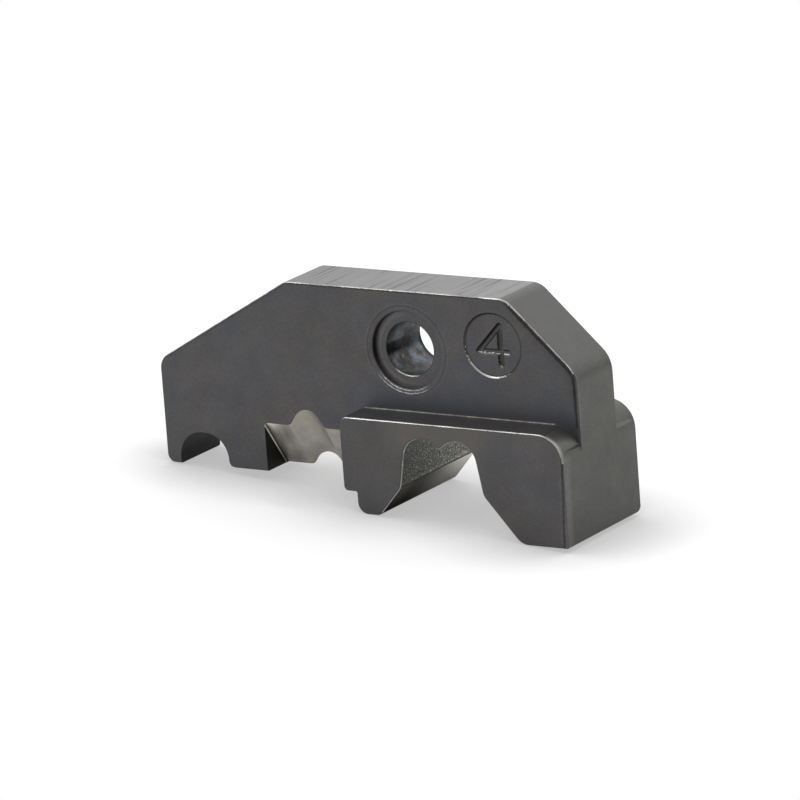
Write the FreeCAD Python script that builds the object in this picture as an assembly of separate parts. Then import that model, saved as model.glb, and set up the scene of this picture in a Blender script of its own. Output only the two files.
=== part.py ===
# One jaw of a crimping jaw set: a steel plate with a thicker crimping block at its right end.
# Frame: origin at the middle of the mounting bore, +X along the length, +Z to the ground base face,
# -Y towards the face with the recess. Lengths are in millimetres.
import FreeCAD
import Part
import math
import os

V = FreeCAD.Vector

# plate, measured from its left end and from the foot level of its teeth
plate_length = 45.7
plate_thickness = 6.6
plate_height = 18.55
shoulder_low_height = 10.0
shoulder_run = 14.8
shoulder_low_radius = 1.6
shoulder_top_radius = 1.2
plate_foot_radius = 0.8
chamfer_run = 7.1
chamfer_drop = 6.6
chamfer_top_radius = 2.1
chamfer_low_radius = 2.8

# mounting bore, with a lipped recess on the marked face only
bore_diameter = 5.1
bore_from_left = 27.65
bore_below_base = 5.65
bore_edge_break = 0.08
recess_diameter = 7.4
recess_depth = 0.6
lip_diameter = 8.6
lip_depth = 0.12

# half-round pocket at the left end
pocket_middle = 4.3
pocket_width = 5.4
pocket_height = 3.2
pocket_roof_radius = 2.5
pocket_tooth_radius = 0.7

# stripping notch, sloped in from both faces to one edge in the middle plane
notch_left = 11.3
notch_right = 20.9
notch_face_height = 4.7
notch_edge_height = 0.1
notch_root_radius = 0.3
arch_width = 3.8
arch_apex_height = 7.48
arch_edge_width = 3.4
arch_edge_height = 2.6
arch_radius = 1.5
arch_shoulder_radius = 0.65

# crimping block, standing out alike in front of and behind the plate
block_left = 21.8
block_stand_out = 3.35
ledge_height = 7.05
ledge_left_radius = 0.8
ledge_right_radius = 2.6
ledge_root_radius = 0.15
block_foot_radius = 0.45
step_width = 1.4
step_drop = 0.05
step_inner_radius = 0.2
tip_drop = 2.15
tip_width = 2.4
tip_left_radius = 1.05
tip_right_radius = 0.8
foot_drop = 3.6
foot_width = 5.0
foot_left_radius = 1.6
foot_right_radius = 0.2
foot_back_radius = 1.0

# two-lobed crimping nest through the block
nest_from_block_left = 10.7
nest_mouth_width = 8.87
nest_mouth_height = 0.68
nest_mouth_radius = 1.2
lobe_corner_width = 6.38
lobe_corner_height = 7.65
lobe_straight = 0.28
cusp_height = 4.63
cusp_radius = 0.3

# bevel on the outer edges, and how far cutters reach past a surface
edge_break = 0.15
overrun = 1.0

half_plate = plate_thickness / 2
half_block = half_plate + block_stand_out
bore_height = plate_height - bore_below_base


def rounded_corner(before, corner, after, radius):
    """Return the start, middle and end of the arc that rounds a corner."""
    back = (before - corner).normalize()
    onward = (after - corner).normalize()
    half_angle = back.getAngle(onward) / 2
    run = radius / math.tan(half_angle)
    bisector = (back + onward).normalize()
    middle = corner + bisector * (radius / math.sin(half_angle) - radius)
    return corner + back * run, middle, corner + onward * run


def outline(corners):
    """Make a face in the plane y = 0 from (x, z, radius) corners; radius 0 leaves a corner sharp."""
    points = [V(x, 0, z) for x, z, radius in corners]
    starts = []
    ends = []
    edges = []
    for number, (x, z, radius) in enumerate(corners):
        if radius == 0:
            starts.append(points[number])
            ends.append(points[number])
            continue
        after = points[(number + 1) % len(points)]
        start, middle, end = rounded_corner(points[number - 1], points[number], after, radius)
        edges.append(Part.Arc(start, middle, end).toShape())
        starts.append(start)
        ends.append(end)
    for number, end in enumerate(ends):
        start = starts[(number + 1) % len(starts)]
        edges.append(Part.LineSegment(end, start).toShape())
    return Part.Face(Part.Wire(Part.sortEdges(edges)[0]))


def slab(corners, half_depth):
    """Extrude an outline by the same distance to both sides of the middle plane."""
    face = outline(corners)
    face.translate(V(0, -half_depth, 0))
    return face.extrude(V(0, 2 * half_depth, 0))


def rim_edges(solid, half_depth):
    """Edges that lie in the front or the back face of a slab."""
    rims = []
    for edge in solid.Edges:
        box = edge.BoundBox
        if box.YLength < edge_break and abs(box.Center.y) > half_depth - edge_break:
            rims.append(edge)
    return rims


def broken_slab(corners, half_depth):
    """Slab with a small bevel around its front and back rims."""
    solid = slab(corners, half_depth)
    return solid.makeChamfer(edge_break, rim_edges(solid, half_depth))


def plate_corners():
    """Plate outline; its lower right part ends inside the block, clear of the nest."""
    hidden_height = ledge_height - ledge_left_radius
    hidden_left = block_left + step_width
    hidden_right = plate_length - foot_width
    hidden_radius = 2 * edge_break
    return [
        (0, 0, plate_foot_radius),
        (0, shoulder_low_height, shoulder_low_radius),
        (shoulder_run, plate_height, shoulder_top_radius),
        (plate_length - chamfer_run, plate_height, chamfer_top_radius),
        (plate_length, plate_height - chamfer_drop, chamfer_low_radius),
        (plate_length, ledge_height - ledge_right_radius, hidden_radius),
        (hidden_right, ledge_height - ledge_right_radius, hidden_radius),
        (hidden_right, hidden_height, hidden_radius),
        (hidden_left, hidden_height, hidden_radius),
        (hidden_left, 0, hidden_radius),
    ]


def lobe_radius():
    """Radius that leaves a short straight between each lobe of the nest and the cusp."""
    corner = V(lobe_corner_width / 2, 0, lobe_corner_height)
    to_cusp = V(0, 0, cusp_height) - corner
    to_mouth = V(nest_mouth_width / 2, 0, nest_mouth_height) - corner
    cusp_half_angle = math.atan2(lobe_corner_width / 2, lobe_corner_height - cusp_height)
    cusp_run = cusp_radius / math.tan(cusp_half_angle)
    lobe_run = to_cusp.Length - cusp_run - lobe_straight
    return lobe_run * math.tan(to_cusp.getAngle(to_mouth) / 2)


def block_corners():
    """Block outline: the ledge, the right foot, the nest, the tip and the step, clockwise."""
    middle = block_left + nest_from_block_left
    mouth_left = middle - nest_mouth_width / 2
    mouth_right = middle + nest_mouth_width / 2
    tip_left = block_left + step_width
    return [
        (block_left, ledge_height, ledge_left_radius),
        (plate_length, ledge_height, ledge_right_radius),
        (plate_length, -foot_drop, foot_right_radius),
        (plate_length - foot_width, -foot_drop, foot_left_radius),
        (mouth_right, nest_mouth_height, nest_mouth_radius),
        (middle + lobe_corner_width / 2, lobe_corner_height, lobe_radius()),
        (middle, cusp_height, cusp_radius),
        (middle - lobe_corner_width / 2, lobe_corner_height, lobe_radius()),
        (mouth_left, nest_mouth_height, nest_mouth_radius),
        (tip_left + tip_width, -tip_drop, tip_right_radius),
        (tip_left, -tip_drop, tip_left_radius),
        (tip_left, -step_drop, step_inner_radius),
        (block_left, -step_drop, block_foot_radius),
    ]


def ledge_cove(side):
    """Concave rounding where the flat part of one ledge meets the plate."""
    radius = ledge_root_radius
    start = block_left + ledge_left_radius
    length = plate_length - ledge_right_radius - start
    root = V(start, side * half_plate, ledge_height)
    centre = root + V(0, side * radius, radius)
    stock = Part.makeBox(length, radius, radius, V(start, min(root.y, centre.y), ledge_height))
    return stock.cut(Part.makeCylinder(radius, length, centre, V(1, 0, 0)))


def foot_back_cutter():
    """Cutter that rounds the long bottom edge at the back of the right foot."""
    radius = foot_back_radius
    corner = V(plate_length - foot_width - foot_drop, half_block - radius, -foot_drop)
    length = foot_width + foot_drop + overrun
    stock = Part.makeBox(length, radius + overrun, radius + overrun, corner - V(0, 0, overrun))
    centre = corner - V(overrun, 0, -radius)
    return stock.cut(Part.makeCylinder(radius, length + 2 * overrun, centre, V(1, 0, 0)))


def pocket_cutter():
    """Half-round pocket, open downwards, that rounds the tooth on its right."""
    left = pocket_middle - pocket_width / 2
    right = pocket_middle + pocket_width / 2
    past_tooth = right + 2 * pocket_tooth_radius
    corners = [
        (left, -overrun, 0),
        (left, pocket_height, pocket_roof_radius),
        (right, pocket_height, pocket_roof_radius),
        (right, 0, pocket_tooth_radius),
        (past_tooth, 0, 0),
        (past_tooth, -overrun, 0),
    ]
    return slab(corners, half_plate + overrun)


def notch_wire(side, share):
    """Notch outline at a share of the way from the middle plane to one face."""
    flat = notch_edge_height + share * (notch_face_height - notch_edge_height)
    apex = arch_edge_height + share * (arch_apex_height - arch_edge_height)
    half_arch = (arch_edge_width + share * (arch_width - arch_edge_width)) / 2
    middle = (notch_left + notch_right) / 2
    corners = [
        (notch_left, -notch_face_height, 0),
        (notch_left, flat, notch_root_radius),
        (middle - half_arch, flat, arch_shoulder_radius),
        (middle, apex, arch_radius),
        (middle + half_arch, flat, arch_shoulder_radius),
        (notch_right, flat, notch_root_radius),
        (notch_right, -notch_face_height, 0),
    ]
    face = outline(corners)
    face.translate(V(0, side * share * half_plate, 0))
    return face.OuterWire


def notch_cutter(side):
    """Sloped half of the notch, from the middle plane to beyond one face."""
    beyond = 1 + overrun / half_plate
    return Part.makeLoft([notch_wire(side, 0), notch_wire(side, beyond)], True, True)


def bore_cutters():
    """Mounting bore, its edge breaks, and the recess with its shallow lip on the marked face."""
    front = V(bore_from_left, -half_plate, bore_height)
    back = V(bore_from_left, half_plate, bore_height)
    floor = front + V(0, recess_depth, 0)
    bore = bore_diameter / 2
    wide = bore + bore_edge_break
    recess = recess_diameter / 2
    inwards = V(0, 1, 0)
    return [
        Part.makeCylinder(bore, plate_thickness, front, inwards),
        Part.makeCylinder(recess, recess_depth, front, inwards),
        Part.makeCone(lip_diameter / 2, recess, lip_depth, front, inwards),
        Part.makeCone(wide, bore, bore_edge_break, floor, inwards),
        Part.makeCone(wide, bore, bore_edge_break, back, -inwards),
    ]


def jaw():
    """The whole jaw in the part's own frame."""
    plate = broken_slab(plate_corners(), half_plate)
    block = broken_slab(block_corners(), half_block)
    body = plate.fuse([block, ledge_cove(-1), ledge_cove(1)]).removeSplitter()
    cutters = [pocket_cutter(), notch_cutter(-1), notch_cutter(1), foot_back_cutter()]
    body = body.cut(cutters + bore_cutters()).removeSplitter()
    body.translate(V(-bore_from_left, 0, -bore_height))
    return body


os.makedirs("parts", exist_ok=True)
shape = jaw()
shape.exportStep("parts/crimping_jaw.step")
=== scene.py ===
"""Looks of the crimping jaw: its surfaces, its coined size mark, the floor, the light and the camera."""

import math

import bmesh
import bpy
from mathutils import Matrix, Vector


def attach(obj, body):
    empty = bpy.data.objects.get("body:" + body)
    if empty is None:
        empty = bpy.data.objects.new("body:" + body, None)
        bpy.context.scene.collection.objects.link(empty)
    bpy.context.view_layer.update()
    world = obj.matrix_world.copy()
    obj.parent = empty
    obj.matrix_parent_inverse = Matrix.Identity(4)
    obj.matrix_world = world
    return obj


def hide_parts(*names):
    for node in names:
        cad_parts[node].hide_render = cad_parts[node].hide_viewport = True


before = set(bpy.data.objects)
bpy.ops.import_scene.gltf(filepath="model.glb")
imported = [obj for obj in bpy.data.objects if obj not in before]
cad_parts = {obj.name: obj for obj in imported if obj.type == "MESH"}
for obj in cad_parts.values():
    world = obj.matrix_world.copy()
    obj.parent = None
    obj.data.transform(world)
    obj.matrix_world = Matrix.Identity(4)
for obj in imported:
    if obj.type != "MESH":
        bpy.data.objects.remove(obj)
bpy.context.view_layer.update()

MM = 0.001

# mending of the mesh, in millimetres: how near counts as one point, as in a plane, and how big the dent is
WELD = 0.0005
OFF_PLANE = 0.005
DENT_DEPTH = 0.02
DENT_HALF_HEIGHT = 0.32
SAME_PLANE = math.radians(0.2)

# smooth shading: the widest angle it runs over, the modifier's top rank, and a big face in square millimetres
SMOOTH_ANGLE = math.radians(27)
RIM_SMOOTH_ANGLE = math.radians(50)
TOP_RANK = 16384
BIG_FLAT = 5.0

# places in the part's frame, in millimetres
FRONT_Y = -3.3
BLOCK_FRONT_Y = -6.65
TOP_Z = 5.65
LEDGE_Z = -5.85
TOOTH_Z = -12.9
END_X = 18.05
LEFT_X = -27.65
BLOCK_LEFT_X = -5.85
NOTCH_X = (-16.35, -6.75)
NOTCH_TOP_Z = -5.2
NEST_X = (0.2, 9.45)
NEST_MOUTH_Z = -12.22
TIP_RIGHT_X = -2.1
FOOT_LEFT_X = 13.05
POCKET_X = (-26.06, -20.0)
POCKET_TOP_Z = -9.6
TOOTH_RADIUS = 0.7
BORE_RADIUS = 2.55
RECESS_RADIUS = 3.7
LIP_RADIUS = 4.3
RIM_BEVEL = 0.15
COVE_RADIUS = 0.15
ARC_FOOT_Z = -8.45
CHAMFER_TOP = (10.95, 5.65)
CHAMFER_OUT = (0.681, 0.732)
SHOULDER_TOP = (-12.85, 5.65)
SHOULDER_OUT = (-0.500, 0.866)
CHAMFER_TOP_ROUNDING = 0.58
CHAMFER_LOW_ROUNDING = 0.93

# coined field with its numeral, on the front face
FIELD_MIDDLE = (9.35, 1.16)
FIELD_RADIUS = 3.1
FIELD_DEPTH = 0.17
FIELD_FLARE = 0.15
STROKE_HALF_WIDTH = 0.31
STROKE_DEPTH = 0.33
# start, end and share of the full size, which differs so that no two surfaces fall together
NUMERAL_STROKES = (
    ((0.75, 1.85), (0.75, -1.85), 1.0),
    ((0.68, 1.79), (-1.52, -0.58), 0.98),
    ((-1.6, -0.64), (1.6, -0.64), 0.96),
)


def new_object(name, data):
    """Link a mesh, a light or a camera to the scene as an object and return the object."""
    made = bpy.data.objects.new(name, data)
    bpy.context.scene.collection.objects.link(made)
    return made


def turn_to(direction):
    """Return the matrix that turns +Z to a direction."""
    return Vector((0, 0, 1)).rotation_difference(direction).to_matrix().to_4x4()


def welded_copy(node, name):
    """Return a new object with the CAD node's faces in millimetres, welded and without stored normals."""
    bm = bmesh.new()
    corners = [bm.verts.new(v.co) for v in node.data.vertices]
    for polygon in node.data.polygons:
        bm.faces.new([corners[index] for index in polygon.vertices])
    bmesh.ops.scale(bm, vec=(1 / MM,) * 3, verts=bm.verts)
    bmesh.ops.remove_doubles(bm, verts=bm.verts, dist=WELD)
    flatten_faces(bm)
    bmesh.ops.dissolve_limit(bm, angle_limit=SAME_PLANE, verts=bm.verts, edges=bm.edges)
    bmesh.ops.triangulate(bm, faces=[f for f in bm.faces if len(f.verts) > 4])
    return closed_object(name, bm)


def flatten_faces(bm):
    """Move points a hair off a face into its plane, and press out the hair-deep dent across the end face."""
    for vertex in bm.verts:
        x, y, z = vertex.co
        for face_y in (FRONT_Y, BLOCK_FRONT_Y):
            if abs(abs(y) + face_y) < OFF_PLANE:
                vertex.co.y = math.copysign(face_y, y)
        in_dent = abs(y) < -FRONT_Y + WELD and abs(z - ARC_FOOT_Z) < DENT_HALF_HEIGHT
        if in_dent and x > END_X - DENT_DEPTH:
            vertex.co.x = END_X


def on_front(x, z, depth):
    """Return the point at (x, z) from the coined field's middle and at a depth below the front face."""
    return Vector((FIELD_MIDDLE[0] + x, FRONT_Y + depth, FIELD_MIDDLE[1] + z))


def field_cutter():
    """Return the closed tool that sinks the round field, with a flared wall, in millimetres."""
    sides = 128
    levels = (
        (FIELD_RADIUS + 2 * FIELD_FLARE, -FIELD_DEPTH),
        (FIELD_RADIUS, 0.0),
        (FIELD_RADIUS - 0.8 * FIELD_FLARE, 0.8 * FIELD_DEPTH),
        (FIELD_RADIUS - 1.5 * FIELD_FLARE, FIELD_DEPTH),
    )
    bm = bmesh.new()
    rings = []
    for radius, depth in levels:
        ring = []
        for side in range(sides):
            angle = 2 * math.pi * side / sides
            ring.append(bm.verts.new(on_front(radius * math.cos(angle), radius * math.sin(angle), depth)))
        rings.append(ring)
    for near, far in zip(rings, rings[1:]):
        for side in range(sides):
            after = (side + 1) % sides
            bm.faces.new((near[side], near[after], far[after], far[side]))
    bm.faces.new(rings[0])
    bm.faces.new(rings[-1])
    return closed_object("field_cutter", bm)


def stroke_cutter(start, end, share):
    """Return the round-ended tool that sinks one stroke of the numeral, in millimetres."""
    radius = share * (STROKE_HALF_WIDTH ** 2 + STROKE_DEPTH ** 2) / (2 * STROKE_DEPTH)
    depth = FIELD_DEPTH + STROKE_DEPTH - radius
    along = Vector((end[0] - start[0], 0, end[1] - start[1]))
    bm = bmesh.new()
    bmesh.ops.create_uvsphere(bm, u_segments=32, v_segments=17, radius=radius)
    for vertex in bm.verts:
        if vertex.co.z > 0:
            vertex.co.z += along.length
    place = Matrix.Translation(on_front(*start, depth)) @ turn_to(along.normalized())
    bmesh.ops.transform(bm, matrix=place, verts=bm.verts)
    return closed_object("stroke_cutter", bm)


def closed_object(name, bm):
    """Return the bmesh as an object with its faces turned outwards."""
    bmesh.ops.recalc_face_normals(bm, faces=bm.faces)
    mesh = bpy.data.meshes.new(name)
    bm.to_mesh(mesh)
    bm.free()
    return new_object(name, mesh)


def apply_modifiers(body):
    """Give the body the mesh that its modifiers make, and return the mesh."""
    bpy.context.view_layer.update()
    depsgraph = bpy.context.evaluated_depsgraph_get()
    made = body.evaluated_get(depsgraph)
    mesh = bpy.data.meshes.new_from_object(made, preserve_all_data_layers=True, depsgraph=depsgraph)
    body.modifiers.clear()
    old = body.data
    body.data = mesh
    bpy.data.meshes.remove(old)
    return mesh


def combine(body, tool, operation):
    """Cut the tool out of the body, or add it, weld what meets, and delete the tool."""
    modifier = body.modifiers.new("combine", "BOOLEAN")
    modifier.operation = operation
    modifier.solver = "EXACT"
    modifier.object = tool
    mesh = apply_modifiers(body)
    tool_mesh = tool.data
    bpy.data.objects.remove(tool)
    bpy.data.meshes.remove(tool_mesh)
    bm = bmesh.new()
    bm.from_mesh(mesh)
    bmesh.ops.remove_doubles(bm, verts=bm.verts, dist=WELD)
    bm.to_mesh(mesh)
    bm.free()


def linked(tree, kind, inputs, **settings):
    """Add a node to a tree, set its settings, and set or link its inputs."""
    made = tree.nodes.new(kind)
    for name, value in settings.items():
        setattr(made, name, value)
    for key, value in inputs.items():
        if isinstance(value, bpy.types.NodeSocket):
            tree.links.new(value, made.inputs[key])
        else:
            made.inputs[key].default_value = value
    return made


def calculated(tree, operation, *values):
    """Add a math node to a tree and return its result."""
    return linked(tree, "ShaderNodeMath", dict(enumerate(values)), operation=operation).outputs[0]


def ranged(tree, value, low, high, to_low=0.0, to_high=1.0, smooth=False):
    """Map value from low..high to to_low..to_high in a tree, clamped, and return the result."""
    inputs = {"Value": value, "From Min": low, "From Max": high, "To Min": to_low, "To Max": to_high}
    kind = "SMOOTHSTEP" if smooth else "LINEAR"
    return linked(tree, "ShaderNodeMapRange", inputs, interpolation_type=kind).outputs[0]


# where the middle of a noise's range lies
NOISE_LOW = 0.3
NOISE_HIGH = 0.7


class Shader:
    """A material's node tree, with short ways to add what the surfaces here need.

    x, y and z are the shaded point's place in the part's frame, in millimetres.
    """

    def __init__(self, name):
        self.material = bpy.data.materials.new(name)
        self.material.use_nodes = True
        self.tree = self.material.node_tree
        self.principled = self.tree.nodes["Principled BSDF"]
        self.place = self.scaled(self.add("ShaderNodeTexCoord", {}).outputs["Object"], 1 / MM)
        self.x, self.y, self.z = self.add("ShaderNodeSeparateXYZ", {0: self.place}).outputs

    def add(self, kind, inputs, **settings):
        """Add a node, set its settings, and set or link its inputs."""
        return linked(self.tree, kind, inputs, **settings)

    def noise(self, scale, detail, roughness, stretch=(1, 1, 1), offset=0.0):
        """Return noise with so many features per millimetre."""
        place = {"Vector": self.place, "Scale": stretch, "Location": (offset,) * 3}
        moved = self.add("ShaderNodeMapping", place).outputs[0]
        look = {"Vector": moved, "Scale": scale, "Detail": detail, "Roughness": roughness}
        return self.add("ShaderNodeTexNoise", look).outputs["Fac"]

    def ramp(self, value, low, high, to_low=0.0, to_high=1.0, smooth=False):
        """Map value from low..high to to_low..to_high, clamped."""
        return ranged(self.tree, value, low, high, to_low, to_high, smooth)

    def spread(self, noise, low, high):
        """Map the middle of a noise's range to low..high."""
        return self.ramp(noise, NOISE_LOW, NOISE_HIGH, low, high)

    def pulse(self, value, low, high, soft):
        """Return 1 where value lies from low to high, falling to 0 over soft on both sides."""
        rise = self.ramp(value, low - soft, low)
        return self.product(rise, self.ramp(value, high + soft, high))

    def math(self, operation, *values):
        """Return the result of a math node."""
        return calculated(self.tree, operation, *values)

    def product(self, first, *others):
        """Return the product of some values or masks."""
        for other in others:
            first = self.math("MULTIPLY", first, other)
        return first

    def total(self, first, *others):
        """Return the sum of some values."""
        for other in others:
            first = self.math("ADD", first, other)
        return first

    def blend(self, factor, first, second):
        """Return a colour between first and second, which are sockets or three numbers each."""
        inputs = {0: factor}
        for key, value in ((6, first), (7, second)):
            inputs[key] = value if isinstance(value, bpy.types.NodeSocket) else (*value, 1.0)
        return self.add("ShaderNodeMix", inputs, data_type="RGBA").outputs[2]

    def scaled(self, colour, factor):
        """Return the colour times a factor."""
        return self.add("ShaderNodeVectorMath", {0: colour, 3: factor}, operation="SCALE").outputs[0]

    def toned(self, colour, mask, factor):
        """Return the colour times factor where mask is 1, and as it is where mask is 0."""
        return self.scaled(colour, self.ramp(mask, 0.0, 1.0, 1.0, factor))

    def facing(self, direction):
        """Return how far the mesh's own normal points in a direction."""
        normal = self.add("ShaderNodeTexCoord", {}).outputs["Normal"]
        made = self.add("ShaderNodeVectorMath", {0: normal, 1: direction}, operation="DOT_PRODUCT")
        return made.outputs["Value"]

    def bump(self, height, distance, normal=None):
        """Return the normal of a height that stands distance millimetres high where it is 1."""
        inputs = {"Height": height, "Distance": distance * MM}
        if normal is not None:
            inputs["Normal"] = normal
        return self.add("ShaderNodeBump", inputs).outputs[0]

    def follow(self, name, value):
        """Link a value to one of the shader's own inputs."""
        self.tree.links.new(value, self.principled.inputs[name])

    def soft_edges(self, radius):
        """Return the normal with the edges rounded by radius, in millimetres."""
        return self.add("ShaderNodeBevel", {"Radius": radius * MM}, samples=6).outputs[0]

    def finish(self, colour, roughness, normal, metallic=1.0, specular=0.5):
        """Feed the surface's shader and return the material."""
        self.follow("Base Color", colour)
        self.follow("Roughness", roughness)
        self.follow("Normal", normal)
        self.principled.inputs["Metallic"].default_value = metallic
        self.principled.inputs["Specular IOR Level"].default_value = specular
        return self.material


OXIDE_METALLIC = 0.6

# linear colours of the oxide, its tints and its dark bands
BROWN = (0.088, 0.0775, 0.069)
BLUE = (0.066, 0.0712, 0.083)
OLIVE = (0.080, 0.080, 0.071)
GREY_OLIVE = (0.073, 0.074, 0.068)
NEUTRAL = (0.084, 0.084, 0.084)
# SLATE: painted shade above the ledge, darker and bluish
SLATE = (0.058, 0.063, 0.079)
TAN = (0.112, 0.103, 0.091)
# the umbers: painted shade inside the plate's upper outline
LIGHT_UMBER = (0.040, 0.033, 0.028)
UMBER = (0.030, 0.026, 0.022)
DARK_UMBER = (0.010, 0.008, 0.006)
PITCH = (0.020, 0.020, 0.019)
# oxide painted lighter at the ledge's root: painted highlight
COVE_LIGHT_OXIDE = (0.15, 0.147, 0.142)
RIM_OXIDE = (0.070, 0.068, 0.064)
GROUND_OXIDE = ((0.124, 0.121, 0.116), (0.114, 0.117, 0.123))
# coined walls facing down and facing up: painted shade and painted light
COINED_OXIDE = ((0.030, 0.029, 0.028), (0.062, 0.058, 0.052))
# near-black oxide of the notch's steep sides: painted shade
NOTCH_SHADE_OXIDE = ((0.009, 0.010, 0.008), (0.018, 0.019, 0.016))
# near-black oxide of the pocket's wall: painted shade
POCKET_SHADE_OXIDE = ((0.010, 0.0095, 0.0085), (0.008, 0.008, 0.0085))
BORE_OXIDE = ((0.062, 0.076, 0.088), (0.026, 0.024, 0.021))
BORE_LIGHT = (0.14, 0.155, 0.165)

# linear colours of bare steel
BRIGHT_STEEL = (0.54, 0.53, 0.51)
WARM_STEEL = (0.455, 0.438, 0.393)
STAINED_STEEL = (0.31, 0.275, 0.22)
RIM_STEEL = ((0.57, 0.56, 0.525), (0.34, 0.333, 0.31))
ERODED_STEEL = ((0.068, 0.069, 0.059), (0.42, 0.42, 0.38))
FLARE_STEEL = ((0.205, 0.194, 0.172), (0.277, 0.264, 0.236))


def blotches(s):
    """Return the blotches of black oxide, 0 to 1."""
    return s.spread(s.noise(0.9, 5.0, 0.62, offset=11.7), 0.0, 1.0)


def oxide_colour(s, brown=BROWN, blue=BLUE):
    """Return the mottled tone of black oxide."""
    clouds = s.ramp(s.noise(0.16, 3.0, 0.6, offset=3.1), 0.36, 0.64, smooth=True)
    flecks = s.spread(s.noise(3.4, 3.0, 0.6, offset=36.0), 0.0, 1.0)
    hue = s.total(s.product(clouds, 0.30), s.product(blotches(s), 0.42), s.product(flecks, 0.34))
    tone = s.spread(s.noise(0.33, 4.0, 0.6, offset=27.0), 0.9, 1.1)
    speck = s.ramp(s.noise(6.0, 3.0, 0.6), 0.25, 0.75, 0.82, 1.18)
    return s.scaled(s.blend(hue, brown, blue), s.product(tone, speck))


# painted shade and painted highlight of the rubbed, rounded upright edges at the right end, of the plate and
# of the block
UPRIGHT_EDGE_SHADING = (
    {"face_y": FRONT_Y, "heights": (LEDGE_Z + 0.1, -1.2, 0.3), "drift": 0.0,
     "dark": (-0.30, -0.14, 0.10), "light": (0.10, 0.25, 0.3), "gain": 1.35},
    {"face_y": BLOCK_FRONT_Y, "heights": (TOOTH_Z - 5, LEDGE_Z - 2.4, 0.5), "drift": 0.34,
     "dark": (-0.12, 0.04, 0.10), "light": (0.32, 0.85, 0.8), "gain": 1.5},
)


def upright_edge_shading(s, colour, face_y, heights, drift, dark, light, gain):
    """Return the colour with a dark band of painted shade and a light band of painted highlight along one
    upright edge; lengths are in millimetres.

    heights, dark and light hold two limits and how far the band fades past them. dark and light count
    the way across the edge, negative on the front face and positive on the end face. drift is how far
    the bands have moved on to the front face at the foot of the edge.
    """
    ragged = s.spread(s.noise(2.4, 4.0, 0.6, offset=52.0), -0.06, 0.06)
    across = s.total(s.math("SUBTRACT", s.x, END_X), s.math("SUBTRACT", s.y, face_y), ragged)
    if drift:
        across = s.total(across, s.ramp(s.z, LEDGE_Z - 2.0, TOOTH_Z - 3.6, 0.0, drift))
    here = s.product(
        s.pulse(s.x, END_X - 0.8, END_X + 1, 0.1), s.pulse(s.y, face_y - 1, face_y + 1.5, 0.2),
        s.pulse(s.z, *heights))
    colour = s.toned(colour, s.product(here, s.pulse(across, *dark)), 0.42)
    return s.toned(colour, s.product(here, s.pulse(across, *light)), gain)


def end_edge_shading(s, colour):
    """Return the colour with the painted shade and highlight of the rubbed, rounded right-hand upright edges
    of the plate and the block.
    """
    for edge in UPRIGHT_EDGE_SHADING:
        colour = upright_edge_shading(s, colour, **edge)
    return colour


def way_in(s, point, out):
    """Return the way in from the straight edge that runs through a point and faces out, both as (x, z)."""
    along_x = s.product(s.math("SUBTRACT", s.x, point[0]), out[0])
    along_z = s.product(s.math("SUBTRACT", s.z, point[1]), out[1])
    return s.product(s.total(along_x, along_z), -1)


def outline_distance(s):
    """Return the way in from the plate's outline along the shoulder, the top, the chamfer and the end."""
    near = s.math("SUBTRACT", TOP_Z, s.z)
    near = s.math("SMOOTH_MIN", near, way_in(s, CHAMFER_TOP, CHAMFER_OUT), CHAMFER_TOP_ROUNDING)
    near = s.math("SMOOTH_MIN", near, s.math("SUBTRACT", END_X, s.x), CHAMFER_LOW_ROUNDING)
    return s.math("MINIMUM", near, way_in(s, SHOULDER_TOP, SHOULDER_OUT))


def outline_shade_band(s, colour):
    """Return the colour with the dark brown band inside the plate's upper outline, wide along the chamfer:
    painted shade beside the rounded edge, with a brown tint.
    """
    ragged = s.spread(s.noise(2.2, 4.0, 0.65, offset=81.0), -0.07, 0.07)
    inside = s.total(outline_distance(s), ragged)
    above = s.product(
        s.pulse(s.y, FRONT_Y - 0.02, FRONT_Y + 0.1, 0.01), s.ramp(s.z, LEDGE_Z + 0.8, LEDGE_Z + 3.0))
    chamfer = s.product(above, s.ramp(s.x, CHAMFER_TOP[0] - 0.55, CHAMFER_TOP[0] + 0.65))
    thin = s.product(above, s.ramp(inside, 0.30, 0.16))
    soft = s.product(chamfer, s.ramp(inside, 1.3, 0.4))
    wide = s.product(chamfer, s.ramp(inside, 0.50, 0.36))
    colour = s.blend(s.product(thin, 0.5), colour, UMBER)
    colour = s.blend(s.product(soft, 0.35), colour, LIGHT_UMBER)
    return s.blend(s.product(wide, 0.9), colour, DARK_UMBER)


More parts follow.
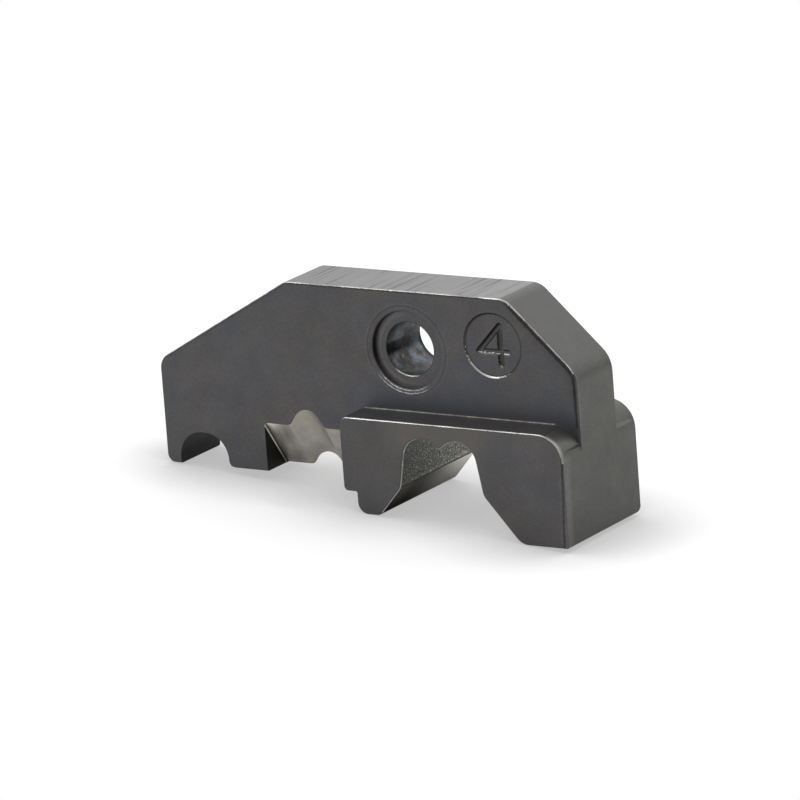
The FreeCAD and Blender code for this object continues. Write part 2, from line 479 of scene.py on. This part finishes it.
def recess_light_and_shade(s, colour):
    """Return the colour with painted light and shade at the recess and the bore's rim: a dark line at the
    lip's sides, a light ring outside the lip, a darker left wall, a lighter floor beside it, broken lines of
    bare steel only on the low side as painted highlights, and bright steel on the bore's rim at the bottom as
    a painted highlight.
    """
    radius = s.math("SQRT", s.total(s.product(s.x, s.x), s.product(s.z, s.z)))
    ring = s.total(radius, s.spread(s.noise(4.0, 4.0, 0.7, offset=44.0), -0.05, 0.05))
    downwards = s.math("DIVIDE", s.total(s.product(s.x, -0.2), s.product(s.z, -1.0)), radius)
    front = s.ramp(s.y, FRONT_Y + 0.9, FRONT_Y + 0.8)
    low = s.product(front, s.ramp(downwards, 0.72, 0.93))
    side = s.product(front, s.ramp(downwards, 0.80, 0.40))
    # a dark line at the lip's sides: painted shade of the lip's step
    lip_shade = s.pulse(ring, LIP_RADIUS - 0.10, LIP_RADIUS - 0.02, 0.06)
    colour = s.toned(colour, s.product(side, lip_shade), 0.72)
    # a light ring just outside the lip: painted light
    halo = s.pulse(ring, LIP_RADIUS + 0.08, LIP_RADIUS + 0.14, 0.08)
    colour = s.toned(colour, s.product(front, halo), 1.16)
    # the recess's left wall darkened: painted shade
    wall = s.pulse(radius, RECESS_RADIUS - 0.02, RECESS_RADIUS + 0.08, 0.05)
    colour = s.toned(colour, s.product(side, wall, s.ramp(s.x, 1.0, -1.5)), 0.2)
    # bare steel lines painted only on the low side: painted highlights
    broken = s.ramp(s.noise(3.4, 4.0, 0.75, offset=48.0), 0.40, 0.54, 0.25, 1.0)
    for middle in (LIP_RADIUS - 0.20, RECESS_RADIUS + 0.13):
        line = s.pulse(ring, middle - 0.02, middle + 0.02, 0.04)
        colour = s.blend(s.product(low, line, broken), colour, BRIGHT_STEEL)
    # the recess floor lightened beside the left wall: painted light
    glow = s.pulse(radius, RECESS_RADIUS - 0.5, RECESS_RADIUS - 0.05, 0.2)
    colour = s.toned(colour, s.product(front, glow, s.ramp(s.x, 0.5, -1.5)), 1.45)
    # the bore's rim made bright steel at the bottom only: painted highlight
    rim = s.pulse(ring, BORE_RADIUS + 0.02, BORE_RADIUS + 0.08, 0.03)
    return s.blend(s.product(front, rim, s.ramp(downwards, 0.86, 0.96)), colour, BRIGHT_STEEL)


def ledge_shade_and_tint(s, colour):
    """Return the colour turned darker and bluish on the plate above the ledge, painted shade with a bluish
    tint, and light brown over the nest.
    """
    # painted shade: darker and bluish above the ledge
    above = s.product(
        s.ramp(s.z, LEDGE_Z + 4.5, LEDGE_Z + 0.6), s.pulse(s.y, FRONT_Y - 0.02, FRONT_Y + 0.2, 0.02),
        s.ramp(s.x, BLOCK_LEFT_X - 1.0, BLOCK_LEFT_X + 3.0))
    colour = s.blend(s.product(above, 0.5), colour, SLATE)
    over_nest = s.product(
        s.pulse(s.x, 1.0, 9.0, 3.0), s.pulse(s.z, LEDGE_Z - 1.8, LEDGE_Z - 0.4, 1.2),
        s.pulse(s.y, BLOCK_FRONT_Y - 0.1, BLOCK_FRONT_Y + 0.1, 0.02))
    return s.blend(s.product(over_nest, 0.6), colour, TAN)


def black_oxide():
    """Satin black oxide over blasted steel."""
    s = Shader("black_oxide")
    # painted shade above the ledge, and painted shade and highlight at the right-hand upright edges
    colour = end_edge_shading(s, ledge_shade_and_tint(s, oxide_colour(s)))
    # painted shade inside the plate's outline, and painted light and shade at the recess and the bore's rim
    colour = recess_light_and_shade(s, outline_shade_band(s, colour))
    grain = s.noise(10.0, 3.0, 0.6)
    roughness = s.total(s.ramp(blotches(s), 0.0, 1.0, 0.38, 0.47), s.spread(grain, -0.03, 0.03))
    normal = s.bump(grain, 0.0035, s.soft_edges(0.06))
    return s.finish(colour, roughness, normal, OXIDE_METALLIC)


def end_face():
    """Right-hand end, a warmer grey than the faces, with painted light on the block's arc and a painted
    highlight along the arc's front edge.
    """
    s = Shader("end_face")
    colour = oxide_colour(s, OLIVE, GREY_OLIVE)
    colour = s.blend(s.product(s.ramp(s.z, -1.0, 3.5), 0.8), colour, NEUTRAL)
    # a painted highlight along the front edge of the block's arc
    rim = s.pulse(s.y, BLOCK_FRONT_Y, BLOCK_FRONT_Y + 0.25, 0.25)
    colour = s.toned(colour, s.product(rim, s.ramp(s.z, ARC_FOOT_Z, ARC_FOOT_Z + 0.8)), 2.4)
    # the block's arc lightened: painted light
    arc = s.pulse(s.y, BLOCK_FRONT_Y, FRONT_Y, 0.1)
    colour = s.toned(colour, s.product(arc, s.ramp(s.z, ARC_FOOT_Z, ARC_FOOT_Z + 1.5)), 1.3)
    grain = s.noise(9.0, 3.0, 0.6)
    roughness = s.ramp(blotches(s), 0.0, 1.0, 0.40, 0.47)
    normal = s.bump(grain, 0.0035, s.soft_edges(0.06))
    # with painted shade and highlight at the upright edges
    return s.finish(end_edge_shading(s, colour), roughness, normal, OXIDE_METALLIC)


def ground_base():
    """The ground base face, with scratches across the plate."""
    s = Shader("ground_base")
    lines = s.noise(7.0, 5.0, 0.7, stretch=(1.0, 0.03, 1.0), offset=5.0)
    deep = s.ramp(s.noise(3.2, 2.0, 0.5, stretch=(1.0, 0.02, 1.0), offset=41.0), 0.56, 0.68)
    colour = oxide_colour(s, *GROUND_OXIDE)
    colour = s.scaled(colour, s.math("SUBTRACT", s.spread(lines, 0.66, 1.34), s.product(deep, 0.36)))
    # darker towards the shoulder and lighter towards the chamfer: painted shade and painted light along the
    # face
    colour = s.scaled(colour, s.ramp(s.x, SHOULDER_TOP[0] - 1.5, SHOULDER_TOP[0] + 7.0, 0.76, 1.0))
    colour = s.scaled(colour, s.ramp(s.x, 2.0, 9.0, 1.0, 1.42))
    roughness = s.total(s.spread(lines, 0.30, 0.50), s.ramp(s.x, 2.0, 11.0, 0.0, 0.05), s.product(deep, 0.12))
    height = s.math("SUBTRACT", lines, s.product(deep, 0.8))
    return s.finish(colour, roughness, s.bump(height, 0.008, s.soft_edges(0.05)), OXIDE_METALLIC)


def rim_depth(s):
    """Return the way in from the front or back face over a rim bevel, in millimetres."""
    far = s.math("ABSOLUTE", s.y)
    from_plate = s.math("ABSOLUTE", s.total(far, FRONT_Y))
    from_block = s.math("ABSOLUTE", s.total(far, BLOCK_FRONT_Y))
    return s.math("MINIMUM", from_plate, from_block)


def worn_edge():
    """Rubbed outer edges: a thin line of bare steel where the wear is high, oxide where it is low."""
    s = Shader("worn_edge")
    wear = s.add("ShaderNodeAttribute", {}, attribute_name="wear").outputs["Fac"]
    nicks = s.noise(1.2, 6.0, 0.72, offset=8.0)
    worn = s.ramp(s.total(wear, s.spread(nicks, -0.38, 0.38)), 0.35, 0.75)
    on_block = s.ramp(s.math("ABSOLUTE", s.y), 0.5 - FRONT_Y, 1.0 - FRONT_Y)
    at_chamfer_top = s.pulse(s.x, CHAMFER_TOP[0] - 2.15, CHAMFER_TOP[0] + 0.65, 0.8)
    wide = s.math("MAXIMUM", on_block, at_chamfer_top)
    start = s.ramp(wide, 0.0, 1.0, 0.40 * RIM_BEVEL, 0.12 * RIM_BEVEL)
    frayed = s.total(rim_depth(s), s.spread(s.noise(5.0, 4.0, 0.7, offset=29.0), -0.03, 0.03))
    inner = s.ramp(s.math("SUBTRACT", frayed, start), 0.0, 0.2 * RIM_BEVEL)
    bare = s.product(worn, inner)
    dark = s.ramp(s.noise(1.5, 3.0, 0.6, offset=61.0), 0.66, 0.69, 0.0, 0.9)
    faint = s.ramp(s.noise(0.28, 3.0, 0.6, offset=93.0), 0.36, 0.60, 0.55, 1.05)
    steel = s.scaled(s.blend(dark, BRIGHT_STEEL, PITCH), faint)
    oxide = s.toned(oxide_colour(s), s.product(wear, s.math("SUBTRACT", 1.0, inner)), 0.4)
    # with painted shade and highlight at the upright edges
    colour = end_edge_shading(s, s.blend(bare, oxide, steel))
    s.follow("Metallic", s.ramp(bare, 0.0, 1.0, OXIDE_METALLIC, 1.0))
    normal = s.bump(nicks, 0.014, s.soft_edges(0.05))
    return s.finish(colour, s.ramp(bare, 0.0, 1.0, 0.44, 0.33), normal)


def ledge_cove():
    """Root of the ledge: oxide painted lighter in a broken line, a painted highlight."""
    s = Shader("ledge_cove")
    patches = s.ramp(s.noise(0.9, 6.0, 0.72, offset=77.0), 0.38, 0.62)
    colour = s.blend(patches, BROWN, COVE_LIGHT_OXIDE)
    return s.finish(colour, s.ramp(patches, 0.0, 1.0, 0.46, 0.36), s.bump(patches, 0.004), 0.8)


def coined_wall():
    """Walls of the coined field and its numeral: dark, darker where they face down, with bright specks of
    bare steel where they face up: painted shade and painted highlights.
    """
    s = Shader("coined_wall")
    up = s.facing((0.40, 0.0, 0.92))
    specks = s.spread(s.noise(4.2, 4.0, 0.75, offset=88.0), -0.3, 0.3)
    # bare steel specks only where the walls face up: painted highlights
    bright = s.ramp(s.total(up, specks), 0.48, 0.62)
    colour = s.blend(bright, s.blend(s.ramp(up, -0.5, 0.2), *COINED_OXIDE), BRIGHT_STEEL)
    normal = s.bump(specks, 0.012, s.soft_edges(0.07))
    return s.finish(colour, s.ramp(bright, 0.0, 1.0, 0.46, 0.34), normal, 0.8)


def nest_rim():
    """Thin rim of the nest, rubbed evenly to a dull grey."""
    s = Shader("nest_rim")
    patches = s.ramp(s.noise(1.8, 4.0, 0.6, offset=70.0), 0.35, 0.7)
    inner = s.ramp(rim_depth(s), 0.40 * RIM_BEVEL, 0.60 * RIM_BEVEL)
    colour = s.blend(inner, RIM_OXIDE, s.blend(patches, *RIM_STEEL))
    normal = s.bump(patches, 0.006, s.soft_edges(0.06))
    return s.finish(colour, s.ramp(patches, 0.0, 1.0, 0.34, 0.44), normal)


def bare_slope():
    """Ground bare steel of the stripping notch, stained in patches, with painted shade towards its lower edge
    and at the arch's foot, painted light beside the left wall, and a strip at its left root darkened as
    painted shade except for two light lines.
    """
    s = Shader("bare_slope")
    lines = s.noise(5.0, 4.0, 0.6, stretch=(1.0, 0.12, 0.12), offset=2.0)
    stain = s.ramp(s.noise(0.5, 3.0, 0.6, offset=19.0), 0.42, 0.72)
    colour = s.blend(s.product(stain, 0.6), WARM_STEEL, STAINED_STEEL)
    colour = s.scaled(colour, s.spread(lines, 0.96, 1.04))
    # darker towards the lower edge: painted shade
    height = s.total(s.z, s.spread(s.noise(1.3, 4.0, 0.6, offset=57.0), -1.0, 1.0))
    colour = s.scaled(colour, s.ramp(height, TOOTH_Z - 0.6, TOOTH_Z + 4.4, 0.62, 1.0))
    # darker at the arch's foot and lighter beside the left wall: painted shade and painted light
    past_root = s.math("SUBTRACT", s.x, NOTCH_X[0])
    foot = s.product(s.pulse(past_root, 0.6, 1.8, 0.9), s.ramp(s.z, TOOTH_Z + 3.0, TOOTH_Z + 0.8))
    colour = s.toned(colour, foot, 0.62)
    near_wall = s.product(s.ramp(past_root, 1.9, 0.7), s.ramp(s.z, TOOTH_Z + 0.8, TOOTH_Z + 2.4))
    colour = s.toned(colour, near_wall, 2.3)
    # the strip at the left root darkened except along two lines: painted shade, with the two light lines left
    # as painted highlights
    strip = s.ramp(past_root, 0.36, 0.30)
    line = s.math("MAXIMUM", s.pulse(past_root, 0.27, 0.31, 0.04), s.pulse(past_root, 0.00, 0.03, 0.03))
    colour = s.toned(colour, s.product(strip, s.math("SUBTRACT", 1.0, line)), 0.2)
    colour = s.toned(colour, strip, 0.8)
    return s.finish(colour, s.spread(lines, 0.36, 0.46), s.bump(lines, 0.0015, s.soft_edges(0.05)))


def notch_wall():
    """Steep sides of the stripping notch, coloured nearly black as painted shade."""
    s = Shader("notch_wall")
    patches = s.noise(2.0, 4.0, 0.6, offset=64.0)
    colour = s.blend(s.spread(patches, 0.0, 1.0), *NOTCH_SHADE_OXIDE)
    return s.finish(colour, s.spread(patches, 0.5, 0.6), s.bump(patches, 0.004), 0.3, 0.10)


# lines where the nest meets its mouth, painted highlight, shade and highlight: limits above the mouth's
# level, how far they fade, and tone
CREASE_LINES = ((0.26, 0.42, 0.06, 1.5), (0.02, 0.15, 0.05, 0.18), (-0.14, -0.08, 0.06, 1.25))


def crease_light_and_shade(s, colour):
    """Return the colour with the light, dark and light lines where the nest meets its flared mouth: painted
    highlights with painted shade between.
    """
    height = s.total(s.z, s.spread(s.noise(0.8, 3.0, 0.5, offset=73.0), -0.03, 0.03))
    for low, high, soft, tone in CREASE_LINES:
        colour = s.toned(colour, s.pulse(height, NEST_MOUTH_Z + low, NEST_MOUTH_Z + high, soft), tone)
    return colour


def eroded_nest():
    """Spark-eroded wall of the nest: coarse glittering grain."""
    s = Shader("eroded_nest")
    tall = (1.0, 1.0, 0.55)
    grain = s.noise(9.5, 3.0, 0.7, stretch=tall)
    glint = s.ramp(s.noise(10.0, 2.0, 0.6, stretch=tall, offset=33.0), 0.56, 0.65)
    colour = s.blend(s.product(glint, 0.85), *ERODED_STEEL)
    colour = s.scaled(colour, s.ramp(grain, 0.38, 0.62, 0.3, 1.7))
    # darker at the front and lighter towards the back: painted shade and painted light
    colour = s.scaled(colour, s.ramp(s.y, BLOCK_FRONT_Y, -BLOCK_FRONT_Y, 0.7, 1.6))
    roughness = s.ramp(glint, 0.0, 1.0, 0.45, 0.28)
    return s.finish(crease_light_and_shade(s, colour), roughness, s.bump(grain, 0.06), 0.8)


def nest_flare():
    """Flanks below the nest: smooth and dark in front, paler and grainy towards the back; the dark and the
    pale are painted shade and painted light.
    """
    s = Shader("nest_flare")
    lines = s.noise(4.0, 4.0, 0.6, stretch=(1.0, 0.15, 1.0), offset=7.0)
    fine = s.noise(6.0, 3.0, 0.7)
    back = s.ramp(s.y, BLOCK_FRONT_Y, -BLOCK_FRONT_Y)
    front_end = s.ramp(back, 0.0, 0.24, 1.6, 1.0)
    low = s.ramp(s.z, NEST_MOUTH_Z - 2.3, NEST_MOUTH_Z - 0.2)
    colour = s.blend(s.spread(lines, 0.0, 1.0), *FLARE_STEEL)
    # darker behind the front end and low down, lighter towards the back and at the front end: painted shade
    # and painted light
    colour = s.scaled(colour, s.ramp(back, 0.34, 1.0, 0.30, 2.0, smooth=True))
    colour = s.scaled(colour, front_end)
    colour = s.scaled(colour, s.ramp(low, 0.0, 1.0, 0.45, 1.1))
    colour = s.toned(colour, back, s.ramp(fine, 0.35, 0.65, 0.6, 1.4))
    # the reflection is dimmed through the specular tint at the front and low down: painted shade
    tint = s.product(s.ramp(back, 0.0, 0.9, 0.22, 1.0), s.ramp(low, 0.0, 1.0, 0.7, 1.0), front_end)
    s.follow("Specular Tint", tint)
    height = s.total(lines, s.product(fine, back, 1.5))
    normal = s.bump(height, 0.012, s.soft_edges(0.06))
    return s.finish(crease_light_and_shade(s, colour), s.spread(lines, 0.34, 0.44), normal)


def bore_wall():
    """Reamed bore, blue-grey with dark stains, with painted light in a low band and painted shade near its
    front end and at its far upper edge.
    """
    s = Shader("bore_wall")
    patches = s.ramp(s.noise(0.55, 5.0, 0.62, offset=15.0), 0.38, 0.60)
    light = s.ramp(s.noise(1.6, 4.0, 0.65, offset=23.0), 0.54, 0.72)
    colour = s.blend(s.product(light, 0.6), s.blend(patches, *BORE_OXIDE), BORE_LIGHT)
    height = s.total(s.z, s.spread(s.noise(0.7, 4.0, 0.6, offset=91.0), -0.5, 0.5))
    stain = s.product(s.pulse(height, -0.35, 0.35, 0.6), s.ramp(s.x, -1.0, -2.0))
    colour = s.toned(colour, stain, 0.72)
    # lighter in a low band: painted light
    colour = s.toned(colour, s.pulse(height, -1.9, -1.3, 0.6), 1.5)
    # darker near the front end and at the far upper edge: painted shade
    colour = s.toned(colour, s.ramp(s.y, FRONT_Y + 1.0, FRONT_Y + 0.62), 0.3)
    far_edge = s.product(s.ramp(s.y, -FRONT_Y - 0.60, -FRONT_Y - 0.40), s.ramp(s.z, 0.2, -0.4))
    colour = s.toned(colour, far_edge, 0.12)
    rings = s.noise(6.0, 3.0, 0.6, stretch=(0.15, 1.0, 0.15), offset=4.0)
    roughness = s.ramp(patches, 0.0, 1.0, 0.34, 0.50)
    return s.finish(colour, roughness, s.bump(rings, 0.003, s.soft_edges(0.05)), 0.8)


def pocket_wall():
    """Wall of the half-round pocket, coloured blacker than the faces as painted shade."""
    s = Shader("pocket_wall")
    rings = s.noise(5.0, 3.0, 0.6, stretch=(1.0, 0.1, 1.0), offset=6.0)
    roughness = s.ramp(blotches(s), 0.0, 1.0, 0.46, 0.56)
    normal = s.bump(rings, 0.003, s.soft_edges(0.08))
    return s.finish(oxide_colour(s, *POCKET_SHADE_OXIDE), roughness, normal, 0.5, 0.24)


# surfaces by name
MAKERS = {maker.__name__: maker for maker in (
    black_oxide, end_face, ground_base, worn_edge, ledge_cove, coined_wall, nest_rim, bare_slope, notch_wall,
    eroded_nest, nest_flare, bore_wall, pocket_wall)}
BEVELS = ("worn_edge", "nest_rim")
CURVED = ("bare_slope", "bore_wall", "pocket_wall", "eroded_nest", "coined_wall", "ledge_cove")

# limits on the parts of a face's normal: along an axis, well towards it, across it, and those of slopes
ALONG = 0.99
TOWARDS = 0.3
ACROSS = 0.1
NOTCH_SLOPE = (0.05, 0.97)
BEVEL_SLOPE = (0.69, 0.725)
# how far past a surface's exact limits its faces are looked for
NEAR = 0.01


def surface_of(centre, normal):
    """Return the surface's name for a face at centre, in millimetres."""
    x, y, z = centre
    lean = abs(normal.y)
    if math.hypot(x, z) < BORE_RADIUS + 2 * NEAR and lean < ACROSS:
        return "bore_wall"
    in_plate = abs(y) < -FRONT_Y - 0.1 * NEAR
    if NOTCH_X[0] - NEAR < x < NOTCH_X[1] + NEAR and z < NOTCH_TOP_Z and in_plate:
        if NOTCH_SLOPE[0] < lean < NOTCH_SLOPE[1]:
            return "bare_slope"
        if abs(normal.x) > 0.9 and lean < NOTCH_SLOPE[0]:
            return "notch_wall"
    from_field = math.hypot(x - FIELD_MIDDLE[0], z - FIELD_MIDDLE[1])
    if from_field < FIELD_RADIUS + 2 * FIELD_FLARE and y < 0 and normal.y > -ALONG:
        return "coined_wall"
    if BLOCK_LEFT_X < x and 0 < z - LEDGE_Z < COVE_RADIUS and 0 < abs(y) + FRONT_Y < COVE_RADIUS:
        return "ledge_cove"
    if POCKET_X[0] - NEAR < x < POCKET_X[1] and z < POCKET_TOP_Z and lean < ACROSS and normal.z > -0.999:
        if x < POCKET_X[1] - TOOTH_RADIUS or z > TOOTH_Z + 0.8:
            return "pocket_wall"
    if x > BLOCK_LEFT_X and lean < 2 * ACROSS and z < LEDGE_Z - 0.1:
        below_mouth = z < NEST_MOUTH_Z + 0.05
        if NEST_X[0] < x < NEST_X[1] and z > NEST_MOUTH_Z:
            return "eroded_nest"
        if TIP_RIGHT_X < x < NEST_X[0] + 0.5 and below_mouth and normal.x > TOWARDS:
            return "nest_flare"
        if NEST_X[1] - 0.5 < x < FOOT_LEFT_X and below_mouth and normal.x < -TOWARDS:
            return "nest_flare"
    if BEVEL_SLOPE[0] < lean < BEVEL_SLOPE[1]:
        around_nest = NEST_X[0] - 2.4 < x < NEST_X[1] + 0.1 and NEST_MOUTH_Z - 2.0 < z < LEDGE_Z - 0.5
        return "nest_rim" if around_nest and abs(y) > -FRONT_Y else "worn_edge"
    if z > TOP_Z - 0.1:
        return "ground_base" if normal.z > ALONG else "black_oxide"
    if normal.x > TOWARDS and x > CHAMFER_TOP[0] and not (z < LEDGE_Z and x < END_X - 3):
        return "end_face"
    return "black_oxide"


def wear_of(centre):
    """Return how far a rim bevel is rubbed bare, 0 to 1."""
    x, y, z = centre
    on_block = abs(y) > -FRONT_Y + 0.5
    if z > TOP_Z - 0.3 or (on_block and z > LEDGE_Z - 0.2):
        return 1.0
    if on_block and x > END_X - 2.7 and z > LEDGE_Z - 2.7:
        return 0.8
    if not on_block and x > END_X - 7.3 and z > -1.0:
        return 0.75
    if not on_block and x < -12.0 and z > -3.5:
        return 0.5
    if on_block and x < BLOCK_LEFT_X + 0.9 and z > NEST_MOUTH_Z:
        return 0.45
    return 0.1


def stays_smooth(edge, rim):
    """Tell whether the shading runs on over an edge; rim holds the indices of the bevel faces."""
    if len(edge.link_faces) != 2:
        return False
    beside_rim = any(face.index in rim for face in edge.link_faces)
    return edge.calc_face_angle() < (RIM_SMOOTH_ANGLE if beside_rim else SMOOTH_ANGLE)


def shading_rank(polygon, name):
    """Return a face's rank where faces meet: front and back faces, big flats, curves, and last the bevels."""
    if abs(polygon.normal.y) > 0.9995:
        return TOP_RANK
    if name in BEVELS:
        return -TOP_RANK
    return TOP_RANK // 2 if polygon.area > BIG_FLAT and name not in CURVED else 0


def dress(body):
    """Give each face its surface and wear, shade it smooth up to the sharp edges, and turn all to metres."""
    mesh = body.data
    names = list(MAKERS)
    for name in names:
        mesh.materials.append(MAKERS[name]())
    wear = mesh.attributes.new("wear", "FLOAT", "FACE")
    rim = set()
    for polygon in mesh.polygons:
        name = surface_of(polygon.center, polygon.normal)
        polygon.material_index = names.index(name)
        if name in BEVELS:
            rim.add(polygon.index)
        if name == "worn_edge":
            wear.data[polygon.index].value = wear_of(polygon.center)
    bm = bmesh.new()
    bm.from_mesh(mesh)
    for face in bm.faces:
        face.smooth = True
    for edge in bm.edges:
        edge.smooth = stays_smooth(edge, rim)
    bm.to_mesh(mesh)
    bm.free()
    rank = mesh.attributes.new("__mod_weightednormals_faceweight", "INT", "FACE")
    for polygon in mesh.polygons:
        rank.data[polygon.index].value = shading_rank(polygon, names[polygon.material_index])
    weighted = body.modifiers.new("weighted_normals", "WEIGHTED_NORMAL")
    weighted.keep_sharp = True
    weighted.use_face_influence = True
    weighted.mode = "CORNER_ANGLE"
    apply_modifiers(body).transform(Matrix.Scale(MM, 4))


def jaw_body():
    """Return the jaw's piece in millimetres: the CAD node's shape with the coined field and its numeral."""
    made = welded_copy(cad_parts["crimping_jaw"], "jaw_body")
    numeral = stroke_cutter(*NUMERAL_STROKES[0])
    for stroke in NUMERAL_STROKES[1:]:
        combine(numeral, stroke_cutter(*stroke), "UNION")
    combine(made, field_cutter(), "DIFFERENCE")
    combine(made, numeral, "DIFFERENCE")
    return made


# the jaw stands on its tooth, tip and foot, so the table leans to its base face
LEAN = math.radians(5.05)
FLOOR_RADIUS = 0.075
UP = Vector((math.sin(LEAN), 0, math.cos(LEAN)))


def new_tree(owner):
    """Return the owner's node tree, emptied."""
    owner.use_nodes = True
    owner.node_tree.nodes.clear()
    return owner.node_tree


# the table's glow to the camera, its paint, and how far and how hard a painted shadow darkens its colour near
# the jaw
TABLE_GLOW = 0.48
TABLE_PAINT = 0.54
SHADE_REACH = 0.009
SHADE_POWER = 1.6


def white_table():
    """Return the table's matt white paint, whose colour darkens softly near the jaw as a painted shadow, and
    which glows to the camera.
    """
    paint = bpy.data.materials.new("white_table")
    tree = new_tree(paint)
    path = linked(tree, "ShaderNodeLightPath", {})
    seen = calculated(tree, "MAXIMUM", path.outputs["Is Camera Ray"], path.outputs["Is Glossy Ray"])
    glow = linked(tree, "ShaderNodeEmission", {"Strength": calculated(tree, "MULTIPLY", seen, TABLE_GLOW)})
    nearby = linked(tree, "ShaderNodeAmbientOcclusion", {"Distance": SHADE_REACH}, samples=8)
    shade = calculated(tree, "POWER", nearby.outputs["AO"], SHADE_POWER)
    matt = linked(tree, "ShaderNodeBsdfDiffuse", {"Color": calculated(tree, "MULTIPLY", shade, TABLE_PAINT)})
    both = linked(tree, "ShaderNodeAddShader", {0: matt.outputs[0], 1: glow.outputs[0]})
    linked(tree, "ShaderNodeOutputMaterial", {"Surface": both.outputs[0]})
    return paint


def table(body):
    """Add the round table that touches the jaw's lowest points."""
    lowest = min(UP.dot(v.co) for v in body.data.vertices)
    middle = Vector(((LEFT_X + END_X) / 2 * MM, 0, 0))
    bm = bmesh.new()
    bmesh.ops.create_circle(bm, cap_ends=True, segments=96, radius=FLOOR_RADIUS)
    mesh = bpy.data.meshes.new("floor")
    bm.to_mesh(mesh)
    bm.free()
    made = new_object("floor", mesh)
    made.matrix_world = Matrix.Translation(middle + UP * (lowest - UP.dot(middle))) @ turn_to(UP)
    mesh.materials.append(white_table())


# the light from all round, and the brighter back wall
WORLD_BASE = 0.52
WORLD_BELOW = 0.85
BELOW_FADE = (0.02, -0.05)
BACK_LOBE = 1.08
BACK_DIRECTION = (0.05, 0.86, 0.50)
BACK_FADE = (0.3, 0.9)
# a darker band along the horizon on the right
HORIZON_DIP = 0.68
DIP_HEIGHT = 0.05
DIP_FADE = (0.14, 0.06)
DIP_RIGHT = (0.15, 0.35)


def studio():
    """Light the jaw from all round, more from the back wall, and show white to the camera."""
    world = bpy.data.worlds.new("studio")
    bpy.context.scene.world = world
    tree = new_tree(world)
    way = linked(tree, "ShaderNodeTexCoord", {}).outputs["Generated"]
    right, _, up = linked(tree, "ShaderNodeSeparateXYZ", {0: way}).outputs
    towards = linked(tree, "ShaderNodeVectorMath", {0: way, 1: BACK_DIRECTION}, operation="DOT_PRODUCT")
    lobe = ranged(tree, towards.outputs["Value"], *BACK_FADE, 0.0, BACK_LOBE, smooth=True)
    base = ranged(tree, up, *BELOW_FADE, WORLD_BASE, WORLD_BELOW)
    off_band = calculated(tree, "ABSOLUTE", calculated(tree, "SUBTRACT", up, DIP_HEIGHT))
    on_right = ranged(tree, right, *DIP_RIGHT, 0.0, HORIZON_DIP)
    dip = calculated(tree, "MULTIPLY", ranged(tree, off_band, *DIP_FADE), on_right)
    level = calculated(tree, "ADD", lobe, base)
    level = calculated(tree, "MULTIPLY", level, calculated(tree, "SUBTRACT", 1.0, dip))
    sky = linked(tree, "ShaderNodeBackground", {"Color": (1, 1, 1, 1), "Strength": level})
    white = linked(tree, "ShaderNodeBackground", {"Color": (1, 1, 1, 1), "Strength": 1.0})
    seen = linked(tree, "ShaderNodeLightPath", {}).outputs["Is Camera Ray"]
    pick = linked(tree, "ShaderNodeMixShader", {0: seen, 1: sky.outputs[0], 2: white.outputs[0]})
    linked(tree, "ShaderNodeOutputWorld", {"Surface": pick.outputs[0]})


def softbox(name, direction, distance, size, radiance):
    """Add a square area light that faces the jaw; lengths in metres."""
    data = bpy.data.lights.new(name, "AREA")
    data.shape = "SQUARE"
    data.size = size
    data.energy = radiance * math.pi * size ** 2
    lamp = new_object(name, data)
    lamp.location = Vector(direction).normalized() * distance
    lamp.rotation_mode = "QUATERNION"
    lamp.rotation_quaternion = (-lamp.location).to_track_quat("-Z", "Y")


# the camera solved from the photograph's outline, and how far off the picture's middle it aims, in pixels
CAMERA_PLACE = Vector((0.348462, -0.540899, 0.164127))
CAMERA_FORWARD = Vector((-0.529494, 0.809335, -0.254190))
CAMERA_RIGHT = Vector((0.844950, 0.529818, -0.073159))
CAMERA_UP = Vector((-0.075465, 0.253515, 0.964383))
PICTURE_SHIFT = (19.885, 2.543)
PICTURE_WIDTH = 800
SENSOR_WIDTH = 36
FOCAL_LENGTH = 324
FOCAL_PIXELS = FOCAL_LENGTH / SENSOR_WIDTH * PICTURE_WIDTH


def photo_camera():
    """Add the camera at the place and angle solved from the photograph's outline."""
    data = bpy.data.cameras.new("camera")
    data.sensor_width = SENSOR_WIDTH
    data.lens = FOCAL_LENGTH
    data.clip_start = 0.01
    data.clip_end = 20
    made = new_object("camera", data)
    shift = CAMERA_RIGHT * (PICTURE_SHIFT[0] / FOCAL_PIXELS) - CAMERA_UP * (PICTURE_SHIFT[1] / FOCAL_PIXELS)
    aim = (CAMERA_FORWARD + shift).normalized()
    side = aim.cross(CAMERA_UP).normalized()
    turn = Matrix((side, side.cross(aim), -aim)).transposed()
    made.matrix_world = Matrix.Translation(CAMERA_PLACE) @ turn.to_4x4()
    bpy.context.scene.camera = made


body = jaw_body()
dress(body)
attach(body, "root")
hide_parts("crimping_jaw")
table(body)
studio()
softbox("overhead", (-0.50, -0.15, 0.85), distance=0.6, size=0.30, radiance=3.4)
softbox("key", (-0.45, -0.75, 0.48), distance=0.8, size=0.6, radiance=1.6)
photo_camera()
bpy.context.scene.view_settings.view_transform = "Standard"
